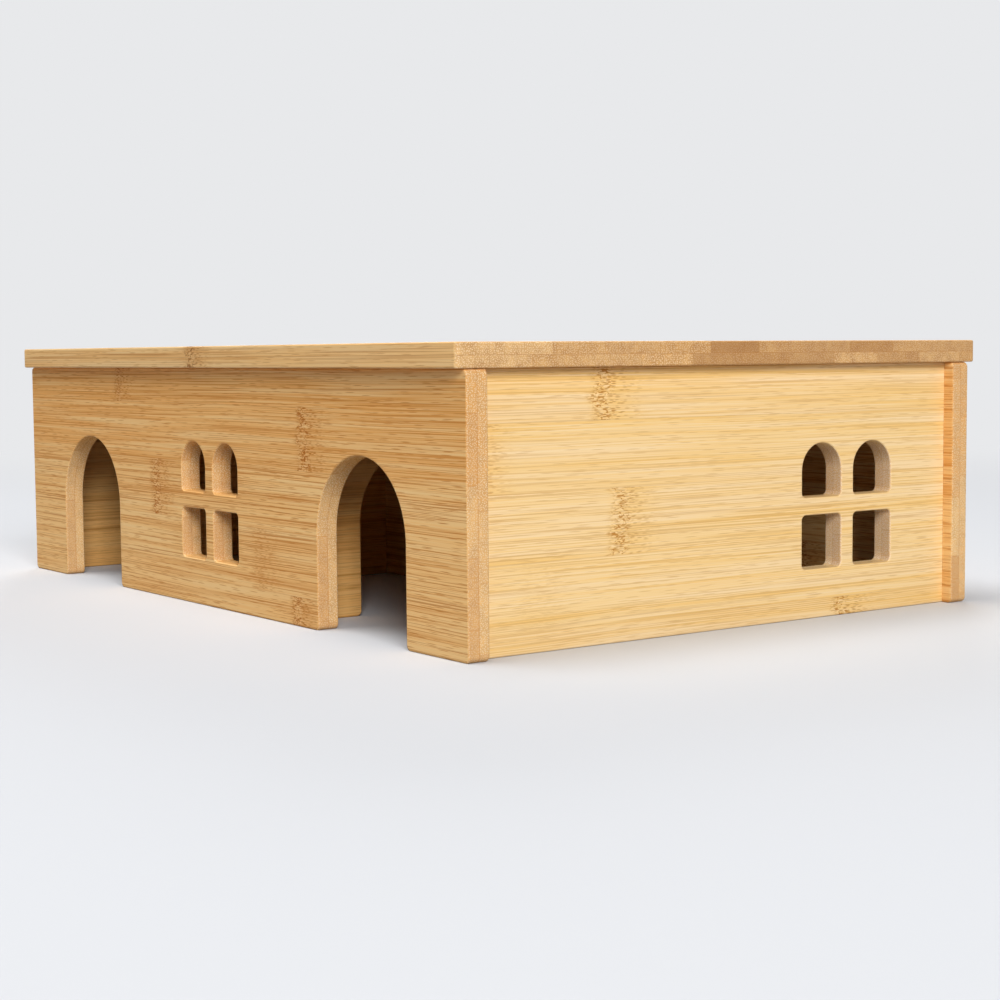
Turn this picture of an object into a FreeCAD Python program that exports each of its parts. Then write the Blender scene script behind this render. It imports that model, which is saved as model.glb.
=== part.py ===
import FreeCAD, Part
import math
import os
import Sketcher
from FreeCAD import Placement, Rotation, Vector

# Bamboo hamster house: four grooved outer boards, three partitions that cross-lap into six chambers,
# and a lift-off lid that cleats keep in its place. The origin is the middle of the house at floor
# level, +X runs to the right along the front with its two doorways, +Y to the back and +Z up.

SIZES = {
    "house_length": 376,  # over the ends of the front and back panels
    "house_depth": 254,  # over the outer faces of the front and back panels
    "wall_height": 100,
    "panel_thickness": 9,
    "partition_thickness": 9,
    "end_inset": 5,  # from the ends of the front and back panels in to the side panels
    "groove_depth": 3,
    "joint_clearance": 0.1,  # on each side of a tongue or a lapped board, and at its end
    "partition_drop": 1,  # from the top of the walls down to the top of the partitions
    "doorway_width": 61,
    "doorway_height": 68,
    "archway_width": 62,  # an archway leads from chamber to chamber
    "archway_height": 69,
    "light_width": 21.5,  # a window has four lights
    "light_height": 21.25,
    "glazing_bar": 7,
    "window_sill": 19.5,
    "light_corner": 2,
    "board_corner": 2.2,  # corners of a board's outline, seen square to its face
    "arris": 0.7,  # the bevel along the edges of every board
    "lid_thickness": 9,
    "lid_overhang": 4,  # past the front and back panels
    "lid_corner": 1.6,
    "cleat_length": 60,
    "cleat_width": 10,
    "cleat_height": 8,
    "cleat_clearance": 1,  # between a cleat and the panels that it sits inside
    "cleat_arris": 1.5,
}

INSIDE_LENGTH = "(sizes.house_length - 2 * sizes.end_inset - 2 * sizes.panel_thickness)"
INSIDE_DEPTH = "(sizes.house_depth - 2 * sizes.panel_thickness)"
# Three equal chambers along the house and two from front to back, from centre to centre
CHAMBER_PITCH = f"(({INSIDE_LENGTH} + sizes.partition_thickness) / 3)"
ROW_PITCH = f"(({INSIDE_DEPTH} + sizes.partition_thickness) / 2)"
TONGUE = "(sizes.groove_depth - sizes.joint_clearance)"
LIGHT_PITCH = "(sizes.light_width + sizes.glazing_bar)"
UPPER_SILL = "(sizes.window_sill + sizes.light_height + sizes.glazing_bar)"
PARTITION_HEIGHT = "(sizes.wall_height - sizes.partition_drop)"
LAP_WIDTH = "(sizes.partition_thickness + 2 * sizes.joint_clearance)"

SKETCH_REACH = 10  # a sketch is first drawn at about this size, and its constraints then set it
CUT_PAST = 1  # how far a lap is cut past the edge that it opens
NEAR = 1e-4


def sheet_of_sizes(doc):
    """Writes each driving size into a cell of its own, with its name as the alias."""
    sheet = doc.addObject("Spreadsheet::Sheet", "sizes")
    for row, (name, value) in enumerate(SIZES.items(), start=1):
        sheet.set(f"A{row}", name)
        sheet.set(f"B{row}", str(value))
        sheet.setAlias(f"B{row}", name)
    doc.recompute()
    return sheet


def new_body(doc, label):
    body = doc.addObject("PartDesign::Body", label)
    body.Label = label
    return body


def origin_feature(body, role):
    return next(feature for feature in body.Origin.OriginFeatures if feature.Role == role)


def new_sketch(body, name, plane, across="0", up="0"):
    """A sketch on one of the body's own planes, with its origin moved across and up that plane."""
    sketch = body.newObject("Sketcher::SketchObject", name)
    sketch.AttachmentSupport = [(origin_feature(body, plane), "")]
    sketch.MapMode = "FlatFace"
    sketch.setExpression("AttachmentOffset.Base.x", across)
    sketch.setExpression("AttachmentOffset.Base.y", up)
    return sketch


def bind(sketch, name, constraint, expression):
    index = sketch.addConstraint(constraint)
    sketch.renameConstraint(index, name)
    sketch.setExpression(f"Constraints.{name}", expression)


def draw_rectangle(sketch, width, height, prefix="", base="0"):
    """A rectangle centred on the sketch's upright axis, with its lower side at the base."""
    first = sketch.GeometryCount
    reach = SKETCH_REACH
    corners = [Vector(-reach, 0), Vector(reach, 0), Vector(reach, reach), Vector(-reach, reach)]
    for start, end in zip(corners, corners[1:] + corners[:1]):
        sketch.addGeometry(Part.LineSegment(start, end), False)
    lower, right, upper, left = range(first, first + 4)
    for one, other in ((lower, right), (right, upper), (upper, left), (left, lower)):
        sketch.addConstraint(Sketcher.Constraint("Coincident", one, 2, other, 1))
    sketch.addConstraint(Sketcher.Constraint("Symmetric", lower, 1, lower, 2, -2))
    sketch.addConstraint(Sketcher.Constraint("Vertical", right))
    sketch.addConstraint(Sketcher.Constraint("Vertical", left))
    sketch.addConstraint(Sketcher.Constraint("Horizontal", upper))
    across = Sketcher.Constraint("DistanceX", lower, 1, lower, 2, 2 * reach)
    bind(sketch, prefix + "width", across, width)
    rise = Sketcher.Constraint("DistanceY", right, 1, right, 2, reach)
    bind(sketch, prefix + "height", rise, height)
    bind(sketch, prefix + "base", Sketcher.Constraint("DistanceY", -1, 1, lower, 1, 0), base)


def draw_arch(sketch, width, height, prefix="", base="0"):
    """A round-headed opening centred on the sketch's upright axis: two jambs and a half circle."""
    first = sketch.GeometryCount
    reach = SKETCH_REACH
    lower, right, head, left = range(first, first + 4)
    half_circle = Part.ArcOfCircle(Part.Circle(Vector(0, reach), Vector(0, 0, 1), reach), 0, math.pi)
    sketch.addGeometry(Part.LineSegment(Vector(-reach, 0), Vector(reach, 0)), False)
    sketch.addGeometry(Part.LineSegment(Vector(reach, 0), Vector(reach, reach)), False)
    sketch.addGeometry(half_circle, False)
    sketch.addGeometry(Part.LineSegment(Vector(-reach, reach), Vector(-reach, 0)), False)
    sketch.addConstraint(Sketcher.Constraint("Coincident", lower, 2, right, 1))
    sketch.addConstraint(Sketcher.Constraint("Tangent", right, 2, head, 1))
    sketch.addConstraint(Sketcher.Constraint("Tangent", head, 2, left, 1))
    sketch.addConstraint(Sketcher.Constraint("Coincident", left, 2, lower, 1))
    sketch.addConstraint(Sketcher.Constraint("Symmetric", lower, 1, lower, 2, -2))
    sketch.addConstraint(Sketcher.Constraint("Vertical", right))
    sketch.addConstraint(Sketcher.Constraint("Vertical", left))
    across = Sketcher.Constraint("DistanceX", lower, 1, lower, 2, 2 * reach)
    bind(sketch, prefix + "width", across, width)
    jamb = Sketcher.Constraint("DistanceY", right, 1, right, 2, reach)
    bind(sketch, prefix + "jamb", jamb, f"{height} - {width} / 2")
    bind(sketch, prefix + "base", Sketcher.Constraint("DistanceY", -1, 1, lower, 1, 0), base)


def pad_both_ways(body, sketch, thickness):
    """The blank of a board, with its outline in the middle of its thickness."""
    pad = body.newObject("PartDesign::Pad", "board")
    pad.Profile = sketch
    pad.Midplane = True
    pad.setExpression("Length", thickness)
    body.Document.recompute()


def upright_board(doc, label, length, height, thickness):
    body = new_body(doc, label)
    sketch = new_sketch(body, "outline", "XZ_Plane")
    draw_rectangle(sketch, length, height)
    pad_both_ways(body, sketch, thickness)
    return body


def cut_through(body, name, sketch):
    """Cuts the sketch right through the body, to both sides of the sketch's plane."""
    body.Document.recompute()
    before = body.Shape.Volume
    pocket = body.newObject("PartDesign::Pocket", name)
    pocket.Profile = sketch
    pocket.Type = "ThroughAll"
    pocket.Midplane = True
    body.Document.recompute()
    if body.Shape.Volume > before - NEAR:
        raise RuntimeError(f"{name} cuts nothing out of {body.Label}")
    return pocket


def mirror_across(body, name, features):
    """The same features again on the other side of the board's middle."""
    mirrored = body.newObject("PartDesign::Mirrored", name)
    mirrored.Originals = features
    mirrored.MirrorPlane = (origin_feature(body, "YZ_Plane"), [""])
    body.Tip = mirrored
    body.Document.recompute()


def dress_edges(body, name, feature, size_name, size, wanted):
    """Puts a fillet or a chamfer on the edges of the body that the wanted test picks."""
    tip = body.Tip
    picked = [f"Edge{n}" for n, edge in enumerate(tip.Shape.Edges, start=1) if wanted(edge)]
    dressed = body.newObject(feature, name)
    dressed.Base = (tip, picked)
    dressed.setExpression(size_name, size)
    body.Tip = dressed
    body.Document.recompute()


def round_edges(body, name, radius, wanted):
    dress_edges(body, name, "PartDesign::Fillet", "Radius", radius, wanted)


def bevel_edges(body, name, size, wanted):
    dress_edges(body, name, "PartDesign::Chamfer", "Size", size, wanted)


def runs_through_at(edge, heights):
    """Whether the edge runs straight through an upright board at one of the heights."""
    box = edge.BoundBox
    straight_through = max(box.XLength, box.ZLength) < NEAR
    return straight_through and any(abs(box.ZMin - height) < NEAR for height in heights)


def round_outline_corners(body, height):
    """Rounds the board's own corners and the feet of its jambs."""
    ends = (0, height)
    round_edges(body, "outline_corners", "sizes.board_corner", lambda edge: runs_through_at(edge, ends))


def ease_arrises(body, thickness, axis="y"):
    """Bevels every edge round the board's two faces, those of its openings included."""

    def on_a_face(edge):
        points = [vertex.Point for vertex in edge.Vertexes] + [edge.CenterOfMass]
        return all(abs(abs(getattr(point, axis)) - thickness / 2) < NEAR for point in points)

    bevel_edges(body, "arrises", "sizes.arris", on_a_face)


def cut_arch(body, name, across, width, height):
    sketch = new_sketch(body, name + "_outline", "XZ_Plane", across=across)
    draw_arch(sketch, width, height)
    return cut_through(body, name, sketch)


def cut_window(body, sheet, across):
    """Four lights round a cross of glazing bars: square ones below, round-headed ones above."""
    left_pair = f"{across} - {LIGHT_PITCH} / 2"
    sketch = new_sketch(body, "lights_outline", "XZ_Plane", across=left_pair)
    draw_rectangle(sketch, "sizes.light_width", "sizes.light_height", "lower_", "sizes.window_sill")
    draw_arch(sketch, "sizes.light_width", "sizes.light_height", "upper_", UPPER_SILL)
    lights = cut_through(body, "left_lights", sketch)

    pattern = body.newObject("PartDesign::LinearPattern", "right_lights")
    pattern.Originals = [lights]
    pattern.Direction = (origin_feature(body, "X_Axis"), [""])
    pattern.Occurrences = 2
    pattern.setExpression("Length", LIGHT_PITCH)
    body.Tip = pattern
    body.Document.recompute()

    lower_head = sheet.window_sill + sheet.light_height
    corners = (sheet.window_sill, lower_head, lower_head + sheet.glazing_bar)
    round_edges(body, "light_corners", "sizes.light_corner", lambda edge: runs_through_at(edge, corners))


def cut_groove(body, name, across, thickness):
    """An upright groove in the panel's inner face, its +Y face, for the tongue of another board."""
    floor = "sizes.panel_thickness / 2 - sizes.groove_depth"
    sketch = new_sketch(body, name + "_outline", "XY_Plane", across=across, up=floor)
    draw_rectangle(sketch, f"{thickness} + 2 * sizes.joint_clearance", "sizes.groove_depth")
    return cut_through(body, name, sketch)


def cut_lap(body, across, base, height):
    """An open slot in one edge of a partition, where another partition crosses it."""
    sketch = new_sketch(body, "lap_outline", "XZ_Plane", across=across)
    draw_rectangle(sketch, LAP_WIDTH, height, base=base)
    return cut_through(body, "lap", sketch)


def place(body, turn=0, across="0", back="0", up="0"):
    """Turns the body about the upright axis and moves it to its place in the house."""
    body.Placement = Placement(Vector(), Rotation(Vector(0, 0, 1), turn))
    body.setExpression("Placement.Base.x", across)
    body.setExpression("Placement.Base.y", back)
    body.setExpression("Placement.Base.z", up)
    return body


def outer_panel(doc, label, length):
    return upright_board(doc, label, length, "sizes.wall_height", "sizes.panel_thickness")


def cut_long_panel_grooves(body):
    """The grooves for a side panel and a cross partition, then the same pair at the other end."""
    side = "sizes.house_length / 2 - sizes.end_inset - sizes.panel_thickness / 2"
    end_groove = cut_groove(body, "end_groove", side, "sizes.panel_thickness")
    cross = f"{CHAMBER_PITCH} / 2"
    cross_groove = cut_groove(body, "cross_groove", cross, "sizes.partition_thickness")
    mirror_across(body, "other_grooves", [end_groove, cross_groove])


def front_panel(doc, sheet):
    """A doorway into each end chamber and a window to the one between them."""
    body = outer_panel(doc, "front_panel", "sizes.house_length")
    width, height = "sizes.doorway_width", "sizes.doorway_height"
    doorway = cut_arch(body, "right_doorway", CHAMBER_PITCH, width, height)
    mirror_across(body, "left_doorway", [doorway])
    cut_window(body, sheet, "0")
    round_outline_corners(body, sheet.wall_height)
    ease_arrises(body, sheet.panel_thickness)
    cut_long_panel_grooves(body)
    return place(body, back="(sizes.panel_thickness - sizes.house_depth) / 2")


def back_panel(doc, sheet):
    """Plain outside, and grooved inside as the front panel is."""
    body = outer_panel(doc, "back_panel", "sizes.house_length")
    round_outline_corners(body, sheet.wall_height)
    ease_arrises(body, sheet.panel_thickness)
    cut_long_panel_grooves(body)
    return place(body, turn=180, back="(sizes.house_depth - sizes.panel_thickness) / 2")


def side_panel(doc, sheet, label, side):
    """An end wall, with a window to its back chamber. Side is 1 at the right and -1 at the left."""
    body = outer_panel(doc, label, f"{INSIDE_DEPTH} + 2 * {TONGUE}")
    cut_window(body, sheet, f"{side} * {ROW_PITCH} / 2")
    round_outline_corners(body, sheet.wall_height)
    ease_arrises(body, sheet.panel_thickness)
    cut_groove(body, "middle_groove", "0", "sizes.partition_thickness")
    middle = "(sizes.house_length / 2 - sizes.end_inset - sizes.panel_thickness / 2)"
    return place(body, turn=90 * side, across=f"{side} * {middle}")


def partition(doc, sheet, label, inside, archway_at):
    """A board from wall to wall, tongued into their grooves, with two archways."""
    length = f"{inside} + 2 * {TONGUE}"
    body = upright_board(doc, label, length, PARTITION_HEIGHT, "sizes.partition_thickness")
    width, height = "sizes.archway_width", "sizes.archway_height"
    archway = cut_arch(body, "archway", archway_at, width, height)
    mirror_across(body, "other_archway", [archway])
    round_outline_corners(body, sheet.wall_height - sheet.partition_drop)
    ease_arrises(body, sheet.partition_thickness)
    return body


def long_partition(doc, sheet):
    """Parts the front chambers from the back ones. Its laps are open upwards."""
    body = partition(doc, sheet, "long_partition", INSIDE_LENGTH, CHAMBER_PITCH)
    base = f"{PARTITION_HEIGHT} / 2 - sizes.joint_clearance / 2"
    height = f"{PARTITION_HEIGHT} / 2 + {CUT_PAST}"
    lap = cut_lap(body, f"{CHAMBER_PITCH} / 2", base, height)
    mirror_across(body, "other_lap", [lap])
    return place(body)


def cross_partition(doc, sheet, label, side):
    """Runs from front to back. Its lap is open downwards, and so it drops over the long partition."""
    body = partition(doc, sheet, label, INSIDE_DEPTH, f"{ROW_PITCH} / 2")
    height = f"{PARTITION_HEIGHT} / 2 + sizes.joint_clearance / 2 + {CUT_PAST}"
    cut_lap(body, "0", f"-{CUT_PAST}", height)
    return place(body, turn=90, across=f"{side} * {CHAMBER_PITCH} / 2")


def lid(doc, sheet):
    """Lies loose on the walls, level with their ends and past them in front and behind."""
    body = new_body(doc, "lid")
    depth = "(sizes.house_depth + 2 * sizes.lid_overhang)"
    sketch = new_sketch(body, "outline", "XY_Plane", up=f"-{depth} / 2")
    draw_rectangle(sketch, "sizes.house_length", depth)
    pad_both_ways(body, sketch, "sizes.lid_thickness")
    thickness = sheet.lid_thickness
    round_edges(body, "corners", "sizes.lid_corner", lambda edge: edge.BoundBox.ZLength > thickness / 2)
    ease_arrises(body, thickness, axis="z")
    return place(body, up="sizes.wall_height + sizes.lid_thickness / 2")


def lid_cleat(doc, label, side, row):
    """A strip under one corner of the lid, just inside the walls, that keeps the lid in place."""
    body = upright_board(doc, label, "sizes.cleat_length", "sizes.cleat_height", "sizes.cleat_width")
    round_edges(body, "lower_arrises", "sizes.cleat_arris", lambda edge: edge.BoundBox.ZMax < NEAR)
    across = f"{side} * ({INSIDE_LENGTH} / 2 - sizes.cleat_clearance - sizes.cleat_length / 2)"
    back = f"{row} * ({INSIDE_DEPTH} / 2 - sizes.cleat_clearance - sizes.cleat_width / 2)"
    return place(body, across=across, back=back, up="sizes.wall_height - sizes.cleat_height")


def check(doc, bodies):
    """Stops the build where a feature failed or a sub-part has no sound shape."""
    doc.recompute()
    for item in doc.Objects:
        if "Invalid" in item.State or "Error" in item.State:
            raise RuntimeError(f"{item.Name} failed: {item.State}")
    for body in bodies:
        if body.Shape.isNull() or not body.Shape.isValid() or len(body.Shape.Solids) != 1:
            raise RuntimeError(f"{body.Label} is not one valid solid")


def main():
    doc = FreeCAD.newDocument("hamster_house")
    sheet = sheet_of_sizes(doc)
    sides = {"left": -1, "right": 1}
    rows = {"front": -1, "back": 1}
    bodies = [front_panel(doc, sheet), back_panel(doc, sheet)]
    bodies += [side_panel(doc, sheet, f"{name}_side_panel", side) for name, side in sides.items()]
    bodies.append(long_partition(doc, sheet))
    bodies += [cross_partition(doc, sheet, f"{name}_cross_partition", side) for name, side in sides.items()]
    bodies.append(lid(doc, sheet))
    for row_name, row in rows.items():
        for side_name, side in sides.items():
            bodies.append(lid_cleat(doc, f"lid_cleat_{row_name}_{side_name}", side, row))
    check(doc, bodies)
    os.makedirs("parts", exist_ok=True)
    for body in bodies:
        body.Shape.exportStep(f"parts/{body.Label}.step")


main()
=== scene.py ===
"""Bamboo hamster house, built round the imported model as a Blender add-on.

Each board is modelled here with rounded arrises, true arcs and its grooves and laps, and stands in for
the CAD node that it hides. All boards are laminated bamboo in two plies of strips, and the fibres of the
upright ones run level. Lengths are in metres, and the patterns of the bamboo in millimetres.
"""

import math

import bmesh
import bpy
from bpy.props import FloatProperty, FloatVectorProperty, PointerProperty
from mathutils import Matrix, Vector


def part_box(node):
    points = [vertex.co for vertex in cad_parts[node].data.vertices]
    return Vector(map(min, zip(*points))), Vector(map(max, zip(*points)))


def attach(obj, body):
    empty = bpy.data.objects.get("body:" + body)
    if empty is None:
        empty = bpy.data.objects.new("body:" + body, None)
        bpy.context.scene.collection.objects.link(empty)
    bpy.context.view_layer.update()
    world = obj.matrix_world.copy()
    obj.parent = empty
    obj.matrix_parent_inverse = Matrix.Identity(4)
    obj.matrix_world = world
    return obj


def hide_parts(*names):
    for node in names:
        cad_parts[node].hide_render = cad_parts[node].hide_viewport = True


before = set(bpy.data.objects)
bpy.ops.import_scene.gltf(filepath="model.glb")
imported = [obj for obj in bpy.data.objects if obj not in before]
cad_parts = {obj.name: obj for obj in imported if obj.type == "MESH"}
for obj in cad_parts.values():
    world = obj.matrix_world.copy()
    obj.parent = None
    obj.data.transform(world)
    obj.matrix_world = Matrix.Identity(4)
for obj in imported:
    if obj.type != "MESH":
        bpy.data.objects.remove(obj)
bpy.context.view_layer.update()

bl_info = {
    "name": "Bamboo hamster house",
    "version": (1, 0, 0),
    "blender": (4, 5, 0),
    "location": "3D View > Sidebar > Hamster house",
    "description": "Models a hamster house of grooved bamboo boards with a lift-off lid",
    "category": "Object",
}

MM = 0.001

# Steps in the arc of an arch, of a board's corner and of an arris
ARCH_STEPS = 40
CORNER_STEPS = 6
ARRIS_STEPS = 3

# Points nearer to each other than this are merged
MERGE_DISTANCE = 1e-7

# Edges sharper than this stay sharp, and flat faces outweigh the arrises beside them by this much
SHARP_ANGLE = math.radians(40)
FACE_WEIGHT = 90


def linear(hex_colour):
    """An sRGB hex colour such as d9a566 as linear red, green and blue."""
    channels = [int(hex_colour[start : start + 2], 16) / 255 for start in (0, 2, 4)]
    return [c / 12.92 if c <= 0.04045 else ((c + 0.055) / 1.055) ** 2.4 for c in channels]


def length_property(name, description, millimetres):
    return FloatProperty(
        name=name, description=description, default=millimetres * MM, min=0, unit="LENGTH", precision=5
    )


def colour_property(name, description, hex_colour):
    return FloatVectorProperty(
        name=name, description=description, default=linear(hex_colour), subtype="COLOR", min=0, max=1
    )


def share_property(name, description, share):
    return FloatProperty(name=name, description=description, default=share, min=0, max=1, subtype="FACTOR")


def power_property(name, description, watts):
    return FloatProperty(name=name, description=description, default=watts, min=0, unit="POWER")


def angle_property(name, description, degrees):
    return FloatProperty(name=name, description=description, default=math.radians(degrees), subtype="ANGLE")


class HamsterHouseJoinery(bpy.types.PropertyGroup):
    """Sizes of the openings, edges and joints of the boards."""

    doorway_width: length_property("Doorway width", "Between the jambs of a doorway", 61)
    doorway_height: length_property("Doorway height", "From the floor to the crown of a doorway", 68)
    archway_width: length_property("Archway width", "Between the jambs of an inner archway", 62)
    archway_height: length_property("Archway height", "From the floor to the crown of an archway", 69)
    light_width: length_property("Light width", "One of the four lights of a window", 21.5)
    light_height: length_property("Light height", "One of the four lights of a window", 21.25)
    glazing_bar: length_property("Glazing bar", "Width of the bars between the lights", 7)
    window_sill: length_property("Window sill", "Height of the sill over the floor", 19.5)
    light_corner: length_property("Light corner", "Radius of the corners of a light", 2)
    board_corner: length_property("Board corner", "Radius of the corners of a board", 2.2)
    lid_corner: length_property("Lid corner", "Radius of the lid's corners seen from above", 1.6)
    arris: length_property("Arris", "Radius that the edges are sanded to", 0.7)
    groove_depth: length_property("Groove depth", "Depth of the grooves that hold the tongues", 3)
    joint_clearance: length_property("Joint clearance", "Room on each side of a tongue", 0.1)
    cleat_arris: length_property("Cleat arris", "Radius of the lower edges of a cleat", 1.5)


class HamsterHouseGrain(bpy.types.PropertyGroup):
    """Measures of the laminated bamboo that all the boards are cut from."""

    strip_width: length_property("Strip width", "Width of one bamboo strip in a board", 24.5)
    # The bundles of real end grain lie about half a millimetre apart, and are drawn coarser to show
    bundle_spacing: length_property("Bundle spacing", "From bundle to bundle in the end grain", 0.72)
    thread_length: length_property("Thread length", "How far a thread runs on the long faces", 80)
    thread_spacing: length_property("Thread spacing", "From thread to thread on the long faces", 0.38)
    dash_length: length_property("Dash length", "From dash to dash along a bundle", 14)
    dash_spacing: length_property("Dash spacing", "From dash to dash across the bundles", 0.52)
    streak_length: length_property("Streak length", "How far a broad streak runs", 220)
    streak_width: length_property("Streak width", "Width of the broadest streaks", 3.2)
    blotch_length: length_property("Blotch length", "Length of the browner blotches", 33.333)
    blotch_width: length_property("Blotch width", "Width of the browner blotches", 4)
    wander: length_property("Wander", "How far a fibre strays sideways", 2.2)
    wander_length: length_property("Wander length", "How far it runs while it strays", 170)
    wander_width: length_property("Wander width", "How far its neighbours stray along with it", 50)
    knuckle_width: length_property("Knuckle width", "Width of a culm's node along the fibres", 7.5)
    knuckle_spacing: length_property("Knuckle spacing", "From node to node of the culm", 300)
    knuckle_stray: length_property("Knuckle stray", "How far the line of a knuckle strays", 9)
    curl_length: length_property("Curl length", "Length of the short curls in a knuckle", 2.6)
    curl_width: length_property("Curl width", "Width of the short curls in a knuckle", 1.1)
    crowd_before: length_property("Crowd before", "Reach of the crowded dashes before a knuckle", 8)
    crowd_after: length_property("Crowd after", "Reach of the crowded dashes after a knuckle", 24)


def tint_properties(pale, warm, pale_streak, warm_streak, bundle, knuckle, end_ground, end_dot, dashes):
    """The tints of one choice of bamboo, and how much of its bundles shows."""
    return {
        "pale": colour_property("Pale strip", "The palest strips", pale),
        "warm": colour_property("Warm strip", "The warmest strips", warm),
        "pale_streak": colour_property("Pale streak", "Streaks with few bundles", pale_streak),
        "warm_streak": colour_property("Warm streak", "Streaks with many bundles", warm_streak),
        "bundle": colour_property("Bundle", "Bundles cut along their length", bundle),
        "knuckle": colour_property("Knuckle", "Curls where the culm had a node", knuckle),
        "end_ground": colour_property("End ground", "Between the bundles of the end grain", end_ground),
        "end_dot": colour_property("End dot", "Bundles cut across", end_dot),
        "dashes": share_property("Dashes", "Share of the bundles that shows", dashes),
    }


class HamsterHouseFrontBamboo(bpy.types.PropertyGroup):
    """Front and back panels: honey coloured, with many short brown dashes."""

    __annotations__ = tint_properties(
        pale="f8ca85", warm="ecad5f", pale_streak="f5ce90", warm_streak="dfa056", bundle="c0741f",
        knuckle="b5691f", end_ground="c49a69", end_dot="efd8b1", dashes=0.8,
    )


class HamsterHouseSideBamboo(bpy.types.PropertyGroup):
    """Right side panel and cleats: pale straw, with long fine yellow streaks."""

    __annotations__ = tint_properties(
        pale="f4d296", warm="eec37e", pale_streak="f5d8aa", warm_streak="f0c16c", bundle="bf8b46",
        knuckle="b97a2c", end_ground="ecc9a6", end_dot="fff2e0", dashes=0.5,
    )


class HamsterHouseInnerBamboo(bpy.types.PropertyGroup):
    """Partitions and left side panel: brown honey, from plainer strips."""

    __annotations__ = tint_properties(
        pale="f3bd72", warm="eaa95a", pale_streak="f0c07a", warm_streak="c98b3f", bundle="ab6c2c",
        knuckle="8e5a26", end_ground="cf9a62", end_dot="ecc795", dashes=0.5,
    )


class HamsterHouseLidBamboo(bpy.types.PropertyGroup):
    """Lid: honey coloured, its ends a patchwork of browner strips."""

    __annotations__ = tint_properties(
        pale="f4c888", warm="eab670", pale_streak="ebc993", warm_streak="d49d58", bundle="b27434",
        knuckle="a06a34", end_ground="ab7745", end_dot="f0d4aa", dashes=0.6,
    )


class HamsterHouseStage(bpy.types.PropertyGroup):
    """The floor, the lamps and the camera."""

    floor_colour: colour_property("Floor", "Plain pale floor", "d2d4d8")
    floor_return: colour_property("Floor return", "How much light the floor sends back up", "a6a6a8")
    backdrop_colour: colour_property("Backdrop", "Where the floor ends", "e8e9eb")
    side_power: power_property("Side softbox", "Power of the lamp at the right", 322)
    top_power: power_property("Top softbox", "Power of the lamp overhead", 60)
    fill_power: power_property("Fill softbox", "Power of the lamp behind and to the left", 70)
    sky_strength: FloatProperty(name="Sky", description="Strength of the even light all round", default=0.06)
    camera_place: FloatVectorProperty(
        name="Camera", description="Where the camera stands", default=(0.6990, -0.4851, 0.1046),
        subtype="TRANSLATION",
    )
    camera_yaw: angle_property("Yaw", "Turned to the left from the back", 53.964)
    camera_pitch: angle_property("Pitch", "Tilted up from level", -4.469)
    camera_roll: angle_property("Roll", "Turned about its own line of sight", -0.468)
    camera_lens: FloatProperty(
        name="Lens", description="Focal length on a sensor 36 mm wide", default=67.04, unit="CAMERA"
    )


# ---------------------------------------------------------------------------------------------------
# Boards


def join(bm, first, second):
    return bm.edges.new((first, second))


def arch_over(bm, spring_point, centre):
    """Carries a loop from the left springing of an arch over to its right springing."""
    spun = bmesh.ops.spin(
        bm, geom=[spring_point], cent=centre, axis=(0, 1, 0), angle=math.pi, steps=ARCH_STEPS
    )
    return next(item for item in spun["geom_last"] if isinstance(item, bmesh.types.BMVert))


def round_off(bm, corners, radius):
    if radius > 0:
        bmesh.ops.bevel(
            bm, geom=corners, affect="VERTICES", offset=radius, offset_type="OFFSET",
            segments=CORNER_STEPS, profile=0.5, material=-1,
        )


def board_loop(bm, depth, inset, length, height, corner, archways):
    """The outline of an upright board with archways, drawn in by the inset at a depth in the board."""
    before = set(bm.edges)
    half = length / 2 - inset
    start = bm.verts.new((-half, depth, inset))
    corners = [start]
    last = start
    for middle, width, crown in archways:
        reach = width / 2 + inset
        spring = crown - width / 2
        left_foot = bm.verts.new((middle - reach, depth, inset))
        left_spring = bm.verts.new((middle - reach, depth, spring))
        join(bm, last, left_foot)
        join(bm, left_foot, left_spring)
        right_spring = arch_over(bm, left_spring, (middle, depth, spring))
        right_foot = bm.verts.new((middle + reach, depth, inset))
        join(bm, right_spring, right_foot)
        corners += [left_foot, right_foot]
        last = right_foot
    for across, up in ((half, inset), (half, height - inset), (-half, height - inset)):
        vert = bm.verts.new((across, depth, up))
        join(bm, last, vert)
        corners.append(vert)
        last = vert
    join(bm, last, start)
    round_off(bm, corners, corner - inset)
    return [edge for edge in bm.edges if edge not in before]


def light_loop(bm, depth, inset, middle, sill, width, height, corner, arched):
    """The outline of one light of a window, drawn out into the wood by the inset."""
    before = set(bm.edges)
    half = width / 2 + inset
    lower_left, lower_right = (bm.verts.new((middle + side * half, depth, sill - inset)) for side in (-1, 1))
    corners = [lower_left, lower_right]
    if arched:
        spring = sill + height - width / 2
        upper_left = bm.verts.new((middle - half, depth, spring))
        upper_right = arch_over(bm, upper_left, (middle, depth, spring))
    else:
        head = sill + height + inset
        upper_left, upper_right = (bm.verts.new((middle + side * half, depth, head)) for side in (-1, 1))
        join(bm, upper_left, upper_right)
        corners += [upper_left, upper_right]
    join(bm, lower_left, lower_right)
    join(bm, lower_left, upper_left)
    join(bm, lower_right, upper_right)
    round_off(bm, corners, corner + inset)
    return [edge for edge in bm.edges if edge not in before]


def sanded_profile(thickness, arris):
    """Insets and depths of the loops that round a board's two arrises, from face to face."""
    turns = [step / ARRIS_STEPS * math.pi / 2 for step in range(ARRIS_STEPS + 1)]
    quarter = [(arris * (1 - math.sin(turn)), arris * (1 - math.cos(turn))) for turn in turns]
    face = thickness / 2
    return [(i, d - face) for i, d in quarter] + [(i, face - d) for i, d in reversed(quarter)]


def edge_walls(bm, loops):
    for near, far in zip(loops, loops[1:]):
        bmesh.ops.bridge_loops(bm, edges=near + far)


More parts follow.
